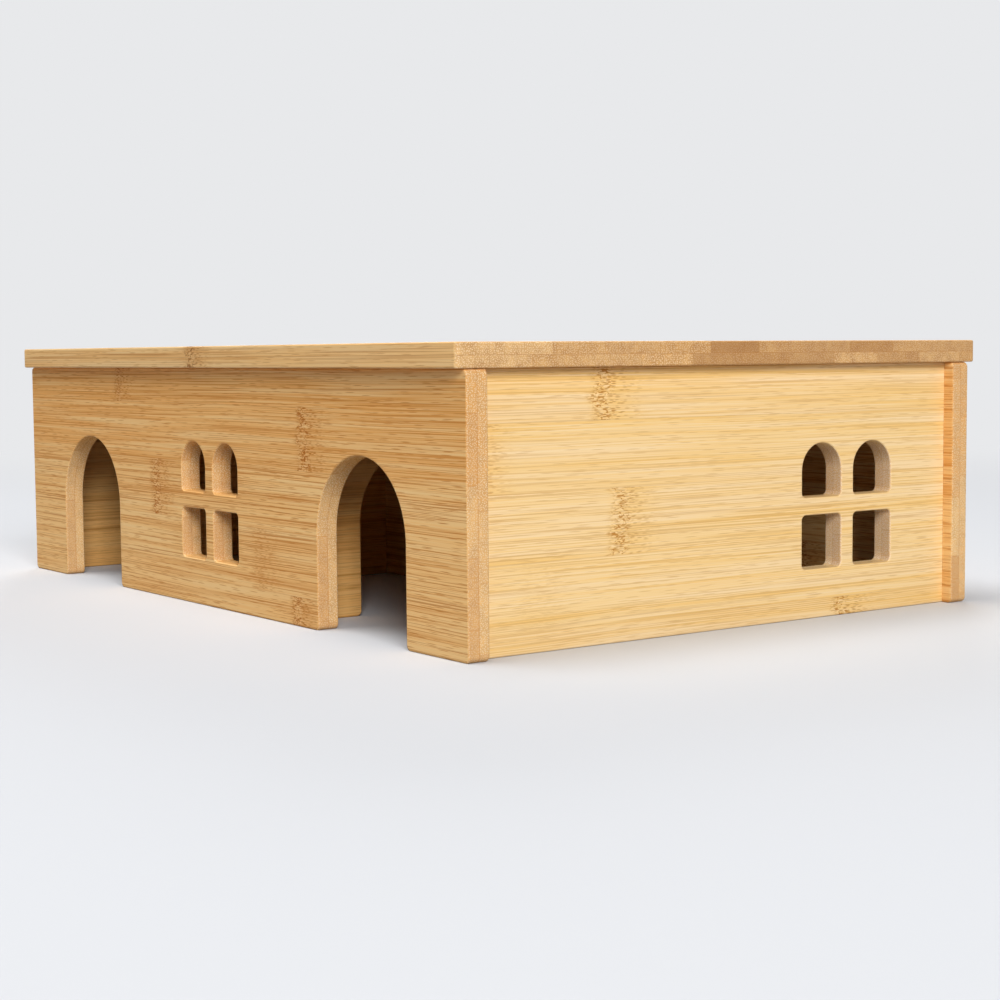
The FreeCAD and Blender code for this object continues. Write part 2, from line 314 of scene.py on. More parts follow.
def window_lights(joinery, centre):
    """The four lights of a window as middle, sill and whether the head is round."""
    pitch = joinery.light_width + joinery.glazing_bar
    upper_sill = joinery.window_sill + joinery.light_height + joinery.glazing_bar
    rows = ((joinery.window_sill, False), (upper_sill, True))
    return [(centre + side * pitch / 2, sill, arched) for side in (-1, 1) for sill, arched in rows]


def make_board(name, length, height, thickness, joinery, corner, archways=(), lights=()):
    """A board centred on the middle of its length and thickness, standing on its lower edge."""
    bm = bmesh.new()
    profile = sanded_profile(thickness, joinery.arris)
    rims = [[board_loop(bm, depth, inset, length, height, corner, archways) for inset, depth in profile]]
    for middle, sill, arched in lights:
        rims.append([
            light_loop(
                bm, depth, inset, middle, sill, joinery.light_width, joinery.light_height,
                joinery.light_corner, arched,
            )
            for inset, depth in profile
        ])
    for loops in rims:
        edge_walls(bm, loops)
    for end in (0, -1):
        boundary = [edge for loops in rims for edge in loops[end]]
        bmesh.ops.triangle_fill(bm, use_beauty=True, edges=boundary)
    bmesh.ops.remove_doubles(bm, verts=bm.verts, dist=MERGE_DISTANCE)
    bmesh.ops.recalc_face_normals(bm, faces=bm.faces)
    return as_object(bm, name)


def as_object(bm, name):
    mesh = bpy.data.meshes.new(name)
    bm.to_mesh(mesh)
    bm.free()
    made = bpy.data.objects.new(name, mesh)
    bpy.context.scene.collection.objects.link(made)
    return made


def cut_slots(board, slots):
    """Cuts boxes given by their lowest and highest corners out of the board."""
    bm = bmesh.new()
    for low, high in slots:
        size = Vector(high) - Vector(low)
        middle = (Vector(high) + Vector(low)) / 2
        bmesh.ops.create_cube(bm, size=1, matrix=Matrix.Translation(middle) @ Matrix.Diagonal(size).to_4x4())
    cutter = as_object(bm, "slot_cutter")
    cut = board.modifiers.new("slots", "BOOLEAN")
    cut.operation = "DIFFERENCE"
    cut.solver = "EXACT"
    cut.object = cutter
    apply_modifiers(board)
    bpy.data.objects.remove(cutter)


def apply_modifiers(piece):
    graph = bpy.context.evaluated_depsgraph_get()
    graph.update()
    finished = bpy.data.meshes.new_from_object(piece.evaluated_get(graph))
    piece.modifiers.clear()
    piece.data = finished


def smooth_arrises(piece):
    """Shades the sanded edges round and keeps the faces flat."""
    for polygon in piece.data.polygons:
        polygon.use_smooth = True
    piece.data.set_sharp_from_angle(angle=SHARP_ANGLE)
    weighted = piece.modifiers.new("flat faces", "WEIGHTED_NORMAL")
    weighted.mode = "FACE_AREA"
    weighted.weight = FACE_WEIGHT
    weighted.keep_sharp = True
    apply_modifiers(piece)


def finish_piece(piece, node, body, material, place=None):
    """Puts a finished piece in the place of its CAD node."""
    if place is not None:
        piece.data.transform(place)
    smooth_arrises(piece)
    piece.data.materials.clear()
    piece.data.materials.append(material)
    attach(piece, body)
    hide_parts(node)


def upright_sizes(node, turn):
    """Length, height and thickness of an upright CAD board, and the matrix that puts a board there."""
    low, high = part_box(node)
    size = high - low
    along_x = abs(math.sin(turn)) < 0.5
    length, thickness = (size.x, size.y) if along_x else (size.y, size.x)
    middle = (low + high) / 2
    place = Matrix.Translation((middle.x, middle.y, low.z)) @ Matrix.Rotation(turn, 4, "Z")
    return length, size.z, thickness, place


def chamber_centres():
    """Middle of the left and right chambers along X, and of the back row along Y."""
    inner_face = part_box("right_side_panel")[0].x
    partition_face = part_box("right_cross_partition")[1].x
    across = (inner_face + partition_face) / 2
    back_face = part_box("back_panel")[0].y
    long_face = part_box("long_partition")[1].y
    return across, (back_face + long_face) / 2


def groove_box(centre, tongue, height, thickness, joinery):
    """A groove in a board's inner face, its +Y face, for a tongue of that thickness."""
    half = tongue / 2 + joinery.joint_clearance
    past = joinery.groove_depth
    floor = thickness / 2 - joinery.groove_depth
    return (centre - half, floor, -past), (centre + half, thickness / 2 + past, height + past)


def node_thickness(node, axis):
    low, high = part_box(node)
    return (high - low)[axis]


def node_middle(node, axis):
    low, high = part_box(node)
    return (high + low)[axis] / 2


def long_panel_grooves(height, thickness, joinery):
    slots = []
    for node in ("right_side_panel", "right_cross_partition"):
        tongue = node_thickness(node, 0)
        middle = node_middle(node, 0)
        slots += [groove_box(side * middle, tongue, height, thickness, joinery) for side in (-1, 1)]
    return slots


# ---------------------------------------------------------------------------------------------------
# Laminated bamboo
#
# The patterns lie on each board in millimetres. Where a Map Range reads a noise or a cell texture, its
# From Min and From Max are the values between which a mark fades in.

# Fibre axis, strip axis and thickness axis of a board
ALONG_X = (0, 2, 1)
ALONG_Y = (1, 2, 0)
LYING = (0, 1, 2)

# How far the lowest glue line lies over a board's lower edge, or behind the lid's front edge. Strips are
# counted from there, so the cut strip before it has the number -1.
GLUE_LINES = {"front_panel": 11.5 * MM, "back_panel": 4 * MM, "side_panel": 7.5 * MM, "lid": 16.4 * MM}
LOWEST_STRIP = -1

# Each strip of a board, from the lowest up: how far along the fibres its knuckle lies in millimetres, how
# far its curls and its crowded dashes show, and how warm it is
FRONT_STRIPS = (
    (260.5, 1, 1, 0.1), (230, 0, 0.6, 0.25), (138.5, 1, 1, 0.35), (267, 1, 1, 0.85), (101, 0.5, 1, 1),
)
SIDE_STRIPS = (
    (184.8, 0.9, 1, 0.6), (30, 0, 0.2, 0.2), (71.1, 0.9, 0.8, 0.2), (3, 1, 1, 0.3), (63, 0.9, 1, 0.6),
)
BACK_STRIPS = ((90, 1, 1, 0.3), (290, 1, 1, 0.6), (150, 1, 1, 0.2), (340, 1, 1, 0.8), (210, 1, 1, 0.5))
PARTITION_STRIPS = ((60, 1, 1, 0.2), (170, 1, 1, 0.4), (40, 1, 1, 0.7), (200, 1, 1, 0.3), (110, 1, 1, 0.8))
LID_STRIPS = (
    (181, 1, 1, 0.25), (290, 0.5, 0.8, 0.2), (60, 0.8, 0.6, 0.7), (330, 0.4, 0.7, 0.4),
    (205, 0.7, 1, 0.9), (110, 0.5, 0.5, 0.3), (260, 0.8, 0.8, 0.6), (40, 0.4, 0.8, 0.1),
    (180, 0.6, 0.6, 0.8), (310, 0.8, 1, 0.5), (130, 0.5, 0.7, 0.2), (20, 0.6, 0.6, 0.7),
)
PLAIN_STRIPS = ((0, 0, 0, 0.5), (0, 0, 0, 0.5))

# How brown the cut end of each strip of the lid is, in the upper ply and in the lower one
LID_BROWNS = (
    (0, 0, 0.25, 0.35, 0.25, 0.95, 0.55, 0.65, 0.8, 0.45, 0.5, 0.5),
    (0, 0.05, 0.25, 0.25, 0, 0.75, 0.75, 0.7, 0.2, 0.6, 0.35, 0.4),
)

# The strips of the inner ply lie this share of a strip off those of the outer one, and draw their chances
# this many numbers further on
PLY_SHIFT = 0.36
INNER_PLY_NUMBER = 37

# Each strip shows another part of the pattern, up to this many millimetres along, across and down
PATTERN_SHIFT = (700, 90, 90)

# The line of a knuckle hardly changes over this length
KNUCKLE_LINE_LENGTH = 100 * MM

# Sanding leaves the bundles this much below the softer wood between them
BUNDLE_DEPTH = 0.06 * MM

# Settings of a Map Range in which a mark fades in softly
FADE = {"interpolation_type": "SMOOTHSTEP"}


def add_node(tree, kind, inputs=(), **settings):
    """Adds a node with its settings. An input takes a value, a socket or a node's first output."""
    made = tree.nodes.new(kind)
    for name, value in settings.items():
        setattr(made, name, value)
    for name, value in dict(inputs).items():
        if isinstance(value, bpy.types.Node):
            value = value.outputs[0]
        if isinstance(value, bpy.types.NodeSocket):
            tree.links.new(value, made.inputs[name])
        else:
            made.inputs[name].default_value = value
    return made


def opaque(colour):
    return (*colour, 1)


def empty_material(name):
    material = bpy.data.materials.new(name)
    material.use_nodes = True
    material.node_tree.nodes.clear()
    return material, material.node_tree


def cells(length, width):
    """Scale of a pattern that repeats over a length along the fibres and a width across them."""
    return MM / length, MM / width, MM / width


def table_of(tree, row, rows):
    """Reads a row out of a table by its number. The columns come out as the channels of a colour."""
    share = add_node(tree, "ShaderNodeMath", {0: row, 1: len(rows)}, operation="DIVIDE")
    table = add_node(tree, "ShaderNodeValToRGB", {0: share})
    table.color_ramp.interpolation = "CONSTANT"
    stops = table.color_ramp.elements
    stops.remove(stops[-1])
    for index, columns in enumerate(rows):
        stop = stops[0] if index == 0 else stops.new(index / len(rows))
        stop.color = columns
    return table


class LaidStrips:
    """Where each point of a board lies among its strips and fibres, as nodes that the patterns read."""

    def __init__(self, tree, grain, axes, origin, outward, seed):
        coordinates = add_node(tree, "ShaderNodeTexCoord")
        self.normal = coordinates.outputs["Normal"]

        # Millimetres along the fibres, across the strips and outwards through the board
        object_axes = add_node(tree, "ShaderNodeSeparateXYZ", {0: coordinates.outputs["Object"]})
        turned = add_node(
            tree, "ShaderNodeCombineXYZ", {new: object_axes.outputs[old] for new, old in enumerate(axes)}
        )
        along, across, through = (-origin[axis] / MM for axis in axes)
        self.board = add_node(
            tree, "ShaderNodeMapping",
            {"Vector": turned, "Location": (along, across, through * outward),
             "Scale": (1 / MM, 1 / MM, outward / MM)},
        )
        place = add_node(tree, "ShaderNodeSeparateXYZ", {0: self.board})
        self.along, across_strips, self.depth = place.outputs

        # The ply and the strip, and the strip's row in a table, clear of the steps between rows
        self.inner_ply = add_node(tree, "ShaderNodeMath", {0: self.depth, 1: 0}, operation="LESS_THAN")
        strips_up = add_node(
            tree, "ShaderNodeMath", {0: across_strips, 1: grain.strip_width / MM}, operation="DIVIDE"
        )
        shifted = add_node(
            tree, "ShaderNodeMath", {0: self.inner_ply, 1: PLY_SHIFT, 2: strips_up}, operation="MULTIPLY_ADD"
        )
        strip = add_node(tree, "ShaderNodeMath", {0: shifted}, operation="FLOOR")
        self.in_strip = add_node(tree, "ShaderNodeMath", {0: shifted}, operation="FRACT")
        self.row = add_node(tree, "ShaderNodeMath", {0: strip, 1: 0.5 - LOWEST_STRIP}, operation="ADD")

        # Chances that each strip of each ply draws for itself
        number = add_node(
            tree, "ShaderNodeMath", {0: self.inner_ply, 1: INNER_PLY_NUMBER, 2: strip},
            operation="MULTIPLY_ADD",
        )
        seeded = add_node(tree, "ShaderNodeMath", {0: number, 1: seed}, operation="ADD")
        chance = add_node(tree, "ShaderNodeTexWhiteNoise", {"W": seeded}, noise_dimensions="1D")
        self.chances = add_node(tree, "ShaderNodeSeparateColor", {0: chance.outputs["Color"]})

        # Fibres stray sideways over the length of a hand, and each strip has a pattern of its own
        wander = grain.wander / MM
        hand = add_node(
            tree, "ShaderNodeMapping",
            {"Vector": self.board, "Scale": cells(grain.wander_length, grain.wander_width)},
        )
        self.drift = add_node(tree, "ShaderNodeTexNoise", {"Vector": hand, "Scale": 1, "Detail": 1})
        self.strayed = add_node(
            tree, "ShaderNodeVectorMath",
            {0: self.drift.outputs["Color"], 1: (0, wander, wander / 2), 2: self.board},
            operation="MULTIPLY_ADD",
        )
        self.fibres = add_node(
            tree, "ShaderNodeVectorMath", {0: chance.outputs["Color"], 1: PATTERN_SHIFT, 2: self.strayed},
            operation="MULTIPLY_ADD",
        )


def knuckle_marks(tree, grain, laid, knuckle):
    """A knuckle, where the culm had a node: a column of short curls across one strip, with crowded dashes
    on both sides of it. Returns how far the curls, the painted highlight between them and the crowd show."""
    half_way = grain.knuckle_spacing / MM / 2
    stray = grain.knuckle_stray / MM
    mean_stray = stray / 2

    # Millimetres along the fibres from the line of the nearest knuckle
    from_knuckle = add_node(
        tree, "ShaderNodeMath", {0: knuckle.outputs[0], 1: -1 / MM, 2: laid.along}, operation="MULTIPLY_ADD"
    )
    line_cells = add_node(
        tree, "ShaderNodeMapping",
        {"Vector": laid.board, "Scale": cells(KNUCKLE_LINE_LENGTH, grain.curl_length)},
    )
    line = add_node(tree, "ShaderNodeTexNoise", {"Vector": line_cells, "Scale": 1, "Detail": 2})
    from_line = add_node(
        tree, "ShaderNodeMath", {0: line, 1: stray, 2: from_knuckle}, operation="MULTIPLY_ADD"
    )
    from_nearest = add_node(
        tree, "ShaderNodeMath", {0: from_line, 1: mean_stray + half_way, 2: mean_stray - half_way},
        operation="WRAP",
    )
    centred = add_node(tree, "ShaderNodeMath", {0: from_nearest, 1: mean_stray}, operation="SUBTRACT")

    # The column of curls, solid in its middle and open at its sides
    distance = add_node(tree, "ShaderNodeMath", {0: centred}, operation="ABSOLUTE")
    width = grain.knuckle_width / MM
    column = add_node(
        tree, "ShaderNodeMapRange",
        {"Value": distance, "From Min": width * 0.85, "From Max": width * 0.2,
         "To Max": knuckle.outputs[1]},
        **FADE,
    )
    curl_cells = add_node(
        tree, "ShaderNodeMapping",
        {"Vector": laid.strayed, "Scale": cells(grain.curl_length, grain.curl_width)},
    )
    curl = add_node(
        tree, "ShaderNodeTexNoise", {"Vector": curl_cells, "Scale": 1, "Detail": 1, "Distortion": 1.5}
    )
    curls = add_node(
        tree, "ShaderNodeMapRange",
        {"Value": curl, "From Min": 0.54, "From Max": 0.63, "To Max": column}, **FADE,
    )
    # Pale flecks between the curls: a painted highlight, in the colour of the pale streaks
    highlight_share = add_node(tree, "ShaderNodeMath", {0: column, 1: 0.55}, operation="MULTIPLY")
    painted_highlights = add_node(
        tree, "ShaderNodeMapRange",
        {"Value": curl, "From Min": 0.47, "From Max": 0.37, "To Max": highlight_share}, **FADE,
    )

    # The crowd thickens towards the knuckle, to an eighth of its reach from it
    before = grain.crowd_before / MM
    after = grain.crowd_after / MM
    crowd_before = add_node(
        tree, "ShaderNodeMapRange", {"Value": centred, "From Min": -before, "From Max": -before / 8}, **FADE
    )
    crowd_beside = add_node(
        tree, "ShaderNodeMapRange",
        {"Value": centred, "From Min": after, "From Max": after / 8, "To Max": crowd_before}, **FADE,
    )
    crowd = add_node(tree, "ShaderNodeMath", {0: crowd_beside, 1: knuckle.outputs[2]}, operation="MULTIPLY")
    return curls, painted_highlights, crowd


def broad_streaks(tree, grain, laid):
    """Streaks along the fibres. Returns how far those paler and those warmer than the strip show."""
    streak_cells = add_node(
        tree, "ShaderNodeMapping",
        {"Vector": laid.fibres, "Scale": cells(grain.streak_length, grain.streak_width)},
    )
    streak = add_node(
        tree, "ShaderNodeTexNoise", {"Vector": streak_cells, "Scale": 1, "Detail": 4, "Roughness": 0.55}
    )
    return [
        add_node(
            tree, "ShaderNodeMapRange",
            {"Value": streak, "From Min": 0.5, "From Max": fullest, "To Max": 0.6}, **FADE,
        )
        for fullest in (0.36, 0.64)
    ]


def fine_lines(tree, wood, grain, laid, crowd):
    """Bundles cut at a shallow angle: fine long threads, single dashes, and shorter dashes that crowd
    round a knuckle. Returns how far these lines and the pale threads between them show."""
    thread_cells = add_node(
        tree, "ShaderNodeMapping",
        {"Vector": laid.fibres, "Scale": cells(grain.thread_length, grain.thread_spacing)},
    )
    thread = add_node(tree, "ShaderNodeTexNoise", {"Vector": thread_cells, "Scale": 1, "Detail": 1})
    thread_share = add_node(
        tree, "ShaderNodeMapRange", {"Value": laid.chances.outputs[1], "To Min": 0.6, "To Max": 1}
    )
    threads = add_node(
        tree, "ShaderNodeMapRange",
        {"Value": thread, "From Min": 0.53, "From Max": 0.64, "To Max": thread_share}, **FADE,
    )
    pale_threads = add_node(
        tree, "ShaderNodeMapRange",
        {"Value": thread, "From Min": 0.47, "From Max": 0.34, "To Max": 0.6}, **FADE,
    )
    kinds_of_dash = []
    for length, faintest, fullest, share in (
        (grain.dash_length, 0.32, 0.14, 1),
        (grain.dash_length / 4, 0.46, 0.2, crowd),
    ):
        dash_cells = add_node(
            tree, "ShaderNodeMapping", {"Vector": laid.fibres, "Scale": cells(length, grain.dash_spacing)}
        )
        dash = add_node(tree, "ShaderNodeTexVoronoi", {"Vector": dash_cells, "Scale": 1})
        dashes = add_node(
            tree, "ShaderNodeMapRange",
            {"Value": dash, "From Min": faintest, "From Max": fullest, "To Max": share}, **FADE,
        )
        kinds_of_dash.append(dashes)
    single, crowded = kinds_of_dash
    fine = add_node(tree, "ShaderNodeMath", {0: threads, 1: single}, operation="MAXIMUM")
    shown = add_node(tree, "ShaderNodeMath", {0: fine, 1: wood.dashes}, operation="MULTIPLY")
    lines = add_node(tree, "ShaderNodeMath", {0: shown, 1: crowded}, operation="MAXIMUM")
    return lines, pale_threads


def long_face(tree, wood, grain, laid, knuckle, tint):
    """The faces along the fibres. Returns their colour, and where the lines and curls lie on them."""
    curls, painted_highlights, crowd = knuckle_marks(tree, grain, laid, knuckle)
    paler, warmer = broad_streaks(tree, grain, laid)
    lines, pale_threads = fine_lines(tree, wood, grain, laid, crowd)
    stained = add_node(tree, "ShaderNodeMath", {0: crowd, 1: 0.55}, operation="MULTIPLY")
    colour = tint
    for share, layer in (
        (paler, wood.pale_streak),
        (warmer, wood.warm_streak),
        (stained, wood.warm_streak),
        (pale_threads, wood.pale_streak),
        # A painted highlight: pale flecks between the curls of a knuckle
        (painted_highlights, wood.pale_streak),
        (lines, wood.bundle),
        (curls, wood.knuckle),
    ):
        layered = add_node(
            tree, "ShaderNodeMix", {"Factor": share, "A": colour, "B": opaque(layer)}, data_type="RGBA"
        )
        colour = layered.outputs["Result"]
    marks = add_node(tree, "ShaderNodeMath", {0: lines, 1: curls}, operation="MAXIMUM")
    return colour, marks


def brown_ends(tree, laid, browns):
    """How brown the cut end of each strip is, from a table of both plies or else by chance."""
    if browns is None:
        return add_node(tree, "ShaderNodeMath", {0: laid.chances.outputs[2], 1: 0.3}, operation="MULTIPLY")
    outer, inner = browns
    row = add_node(
        tree, "ShaderNodeMath", {0: laid.inner_ply, 1: len(outer), 2: laid.row}, operation="MULTIPLY_ADD"
    )
    table = table_of(tree, row, [(brown, brown, brown, 1) for brown in outer + inner])
    return add_node(tree, "ShaderNodeMath", {0: table, 1: 0.7}, operation="MULTIPLY")


def cut_end(tree, wood, grain, laid, tint, blotch, browns):
    """Colour of the end grain, where the bundles are pale dots on a browner ground."""
    strand = add_node(tree, "ShaderNodeSeparateXYZ", {0: laid.fibres})
    cross_cut = add_node(tree, "ShaderNodeCombineXYZ", {0: strand.outputs[1], 1: strand.outputs[2]})
    bundle = add_node(
        tree, "ShaderNodeTexVoronoi",
        {"Vector": cross_cut, "Scale": MM / grain.bundle_spacing, "Randomness": 0.75},
        voronoi_dimensions="2D",
    )
    dots = add_node(
        tree, "ShaderNodeMapRange",
        {"Value": bundle, "From Min": 0.4, "From Max": 0.12, "To Max": 0.9}, **FADE,
    )
    colour = opaque(wood.end_ground)
    for share, layer in (
        (blotch, tint),
        (dots, opaque(wood.end_dot)),
        (brown_ends(tree, laid, browns), opaque(wood.knuckle)),
    ):
        layered = add_node(
            tree, "ShaderNodeMix", {"Factor": share, "A": colour, "B": layer}, data_type="RGBA"
        )
        colour = layered.outputs["Result"]
    return colour


def glue_lines(tree, laid, blotch):
    """Glue: a thin brown line between the plies, and fainter ones between the strips."""
    depth = add_node(tree, "ShaderNodeMath", {0: laid.depth}, operation="ABSOLUTE")
    ply_line = add_node(
        tree, "ShaderNodeMapRange",
        {"Value": depth, "From Min": 0.22, "From Max": 0.05, "To Max": blotch}, **FADE,
    )
    off_centre = add_node(tree, "ShaderNodeMath", {0: laid.in_strip, 1: 0.5}, operation="SUBTRACT")
    off_side = add_node(tree, "ShaderNodeMath", {0: off_centre}, operation="ABSOLUTE")
    strip_line = add_node(
        tree, "ShaderNodeMapRange",
        {"Value": off_side, "From Min": 0.486, "From Max": 0.5, "To Max": 0.3}, **FADE,
    )
    return add_node(tree, "ShaderNodeMath", {0: ply_line, 1: strip_line}, operation="MAXIMUM")


def bamboo(name, wood, grain, axes, origin, strips, seed, outward=1, browns=None):
    """Laminated bamboo, sanded and lightly oiled. The fibres run along the first axis, in strips set
    edge to edge along the second, in two plies glued face to face. The long faces show bundles cut at a
    shallow angle as thin dashes and streaks, and a knuckle where the culm had a node. Cut ends show the
    bundles as pale dots. The sheen is low and even."""
    material, tree = empty_material(name)
    laid = LaidStrips(tree, grain, axes, origin, outward, seed)
    table = table_of(tree, laid.row, [(place * MM, *shares) for place, *shares in strips])
    knuckle = add_node(tree, "ShaderNodeSeparateColor", {0: table})

    # The strip's own tint, which drifts a little along it
    varied = add_node(tree, "ShaderNodeMath", {0: laid.drift, 1: 0.9, 2: -0.45}, operation="MULTIPLY_ADD")
    warmth = add_node(tree, "ShaderNodeMath", {0: table.outputs["Alpha"], 1: varied}, operation="ADD")
    tinted = add_node(
        tree, "ShaderNodeMix", {"Factor": warmth, "A": opaque(wood.pale), "B": opaque(wood.warm)},
        data_type="RGBA",
    )
    tint = tinted.outputs["Result"]
    blotch_cells = add_node(
        tree, "ShaderNodeMapping",
        {"Vector": laid.fibres, "Scale": cells(grain.blotch_length, grain.blotch_width)},
    )
    blotch = add_node(tree, "ShaderNodeTexNoise", {"Vector": blotch_cells, "Scale": 1, "Detail": 2})

    # End grain shows where the surface cuts squarely across the fibres
    face_colour, marks = long_face(tree, wood, grain, laid, knuckle, tint)
    facing = add_node(tree, "ShaderNodeSeparateXYZ", {0: laid.normal})
    squarely = add_node(tree, "ShaderNodeMath", {0: facing.outputs[axes[0]]}, operation="ABSOLUTE")
    end_share = add_node(
        tree, "ShaderNodeMapRange", {"Value": squarely, "From Min": 0.25, "From Max": 0.8}, **FADE
    )
    end_colour = cut_end(tree, wood, grain, laid, tint, blotch, browns)
    surface = add_node(
        tree, "ShaderNodeMix", {"Factor": end_share, "A": face_colour, "B": end_colour}, data_type="RGBA"
    )
    colour = add_node(
        tree, "ShaderNodeMix",
        {"Factor": glue_lines(tree, laid, blotch), "A": surface.outputs["Result"], "B": opaque(wood.bundle)},
        data_type="RGBA",
    )

    # The bundles lie a hair below the softer wood, and shine a little less
    bump = add_node(
        tree, "ShaderNodeBump", {"Height": marks, "Strength": 0.3, "Distance": BUNDLE_DEPTH}, invert=True
    )
    roughness = add_node(tree, "ShaderNodeMath", {0: marks, 1: 0.1, 2: 0.55}, operation="MULTIPLY_ADD")
    sanded = add_node(
        tree, "ShaderNodeBsdfPrincipled",
        {"Base Color": colour.outputs["Result"], "Roughness": roughness, "IOR": 1.5, "Normal": bump,
         "Specular IOR Level": 0.32},
    )
    add_node(tree, "ShaderNodeOutputMaterial", {"Surface": sanded})
    return material


# ---------------------------------------------------------------------------------------------------
# Operators

# Radius of the floor in metres, and the steps round its edge
FLOOR_RADIUS = 12
FLOOR_STEPS = 96

# The floor passes into the backdrop between these distances from the house, in metres
BACKDROP_STARTS = 0.45
BACKDROP_FULL = 1.3

# Each softbox: its name, the setting that holds its power, its size and its place, both in metres
SOFTBOXES = (
    ("side_softbox", "side_power", 2.6, (4.7, -2.02, 2.8)),
    ("top_softbox", "top_power", 1.6, (-0.35, -0.7, 2.77)),
    ("fill_softbox", "fill_power", 2, (-3.2, 2.6, 1.8)),
)

# Width of the camera's sensor in millimetres, and the nearest that it sees in metres
SENSOR_WIDTH = 36
NEAREST_SEEN = 0.01


def strip_origin(node, axes, glue_line=0):
    """The start of a board's fibres, on its lowest glue line and half-way through its thickness."""
    low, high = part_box(node)
    _, strip_axis, thickness_axis = axes
    origin = low.copy()
    origin[strip_axis] += glue_line
    origin[thickness_axis] = (low[thickness_axis] + high[thickness_axis]) / 2
    return origin


class HAMSTER_OT_front_panel(bpy.types.Operator):
    """Front panel with two doorways and a window"""

    bl_idname = "hamster_house.front_panel"
    bl_label = "Front panel"

    def execute(self, context):
        joinery = context.scene.hamster_joinery
        length, height, thickness, place = upright_sizes("front_panel", 0)
        across, _ = chamber_centres()
        doorways = [(side * across, joinery.doorway_width, joinery.doorway_height) for side in (-1, 1)]
        board = make_board(
            "front_board", length, height, thickness, joinery, joinery.board_corner,
            archways=doorways, lights=window_lights(joinery, 0),
        )
        cut_slots(board, long_panel_grooves(height, thickness, joinery))
        material = bamboo(
            "sanded_bamboo_front", context.scene.hamster_front, context.scene.hamster_grain, ALONG_X,
            strip_origin("front_panel", ALONG_X, GLUE_LINES["front_panel"]), FRONT_STRIPS, seed=3,
            outward=-1,
        )
        finish_piece(board, "front_panel", "house", material, place)
        return {"FINISHED"}


class HAMSTER_OT_back_panel(bpy.types.Operator):
    """Back panel, plain outside and grooved inside"""

    bl_idname = "hamster_house.back_panel"
    bl_label = "Back panel"

    def execute(self, context):
        joinery = context.scene.hamster_joinery
        length, height, thickness, place = upright_sizes("back_panel", math.pi)
        board = make_board("back_board", length, height, thickness, joinery, joinery.board_corner)
        cut_slots(board, long_panel_grooves(height, thickness, joinery))
        material = bamboo(
            "sanded_bamboo_back", context.scene.hamster_front, context.scene.hamster_grain, ALONG_X,
            strip_origin("back_panel", ALONG_X, GLUE_LINES["back_panel"]), BACK_STRIPS, seed=11,
        )
        finish_piece(board, "back_panel", "house", material, place)
        return {"FINISHED"}


class HAMSTER_OT_side_panels(bpy.types.Operator):
    """Left and right panels, each with a window to its back chamber"""

    bl_idname = "hamster_house.side_panels"
    bl_label = "Side panels"

    def execute(self, context):
        woods = {"left": context.scene.hamster_inner, "right": context.scene.hamster_side}
        for name, side in (("left", -1), ("right", 1)):
            self.make(context, name, side, woods[name])
        return {"FINISHED"}

    def make(self, context, name, side, wood):
        joinery = context.scene.hamster_joinery
        node = f"{name}_side_panel"
        length, height, thickness, place = upright_sizes(node, side * math.pi / 2)
        _, back_row = chamber_centres()
        board = make_board(
            f"{name}_side_board", length, height, thickness, joinery, joinery.board_corner,
            lights=window_lights(joinery, side * back_row),
        )
        tongue = node_thickness("long_partition", 1)
        cut_slots(board, [groove_box(0, tongue, height, thickness, joinery)])

        # The knuckles of a side panel are measured from the front of the house
        origin = strip_origin(node, ALONG_Y, GLUE_LINES["side_panel"])
        origin.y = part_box("front_panel")[0].y
        material = bamboo(
            f"sanded_bamboo_{name}_side", wood, context.scene.hamster_grain, ALONG_Y, origin, SIDE_STRIPS,
            seed=20 + side, outward=side,
        )
        finish_piece(board, node, "house", material, place)


class HAMSTER_OT_partitions(bpy.types.Operator):
    """Long partition and two cross partitions, lapped over each other"""

    bl_idname = "hamster_house.partitions"
    bl_label = "Partitions"

    def execute(self, context):
        across, back_row = chamber_centres()
        cross = node_middle("right_cross_partition", 0)
        self.make(context, "long_partition", ALONG_X, across, (-cross, cross), "above", seed=31)
        self.make(context, "left_cross_partition", ALONG_Y, back_row, (0,), "below", seed=37)
        self.make(context, "right_cross_partition", ALONG_Y, back_row, (0,), "below", seed=43)
        return {"FINISHED"}

    def make(self, context, node, axes, arch_at, laps, opens, seed):
        """A partition with an archway at both sides of its middle, and laps that open above or below."""
        joinery = context.scene.hamster_joinery
        turn = 0 if axes == ALONG_X else math.pi / 2
        length, height, thickness, place = upright_sizes(node, turn)
        archways = [(side * arch_at, joinery.archway_width, joinery.archway_height) for side in (-1, 1)]
        board = make_board(
            node.replace("partition", "divider"), length, height, thickness, joinery,
            joinery.board_corner, archways=archways,
        )
        half = thickness / 2 + joinery.joint_clearance
        past = thickness
        middle = height / 2
        low, high = (middle, height + past) if opens == "above" else (-past, middle)
        cut_slots(board, [((at - half, -past, low), (at + half, past, high)) for at in laps])
        material = bamboo(
            f"sanded_bamboo_{node}", context.scene.hamster_inner, context.scene.hamster_grain, axes,
            strip_origin(node, axes), PARTITION_STRIPS, seed,
        )
        finish_piece(board, node, "house", material, place)


class HAMSTER_OT_lid(bpy.types.Operator):
    """Loose lid that lies on the walls"""

    bl_idname = "hamster_house.lid"
    bl_label = "Lid"

    def execute(self, context):
        joinery = context.scene.hamster_joinery
        low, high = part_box("lid")
        size = high - low
        board = make_board("lid_board", size.x, size.y, size.z, joinery, joinery.lid_corner)
        middle = (low + high) / 2
        place = Matrix.Translation((middle.x, low.y, middle.z)) @ Matrix.Rotation(-math.pi / 2, 4, "X")
        material = bamboo(
            "sanded_bamboo_lid", context.scene.hamster_lid, context.scene.hamster_grain, LYING,
            strip_origin("lid", LYING, GLUE_LINES["lid"]), LID_STRIPS, seed=53, browns=LID_BROWNS,
        )
        finish_piece(board, "lid", "lid", material, place)
        return {"FINISHED"}


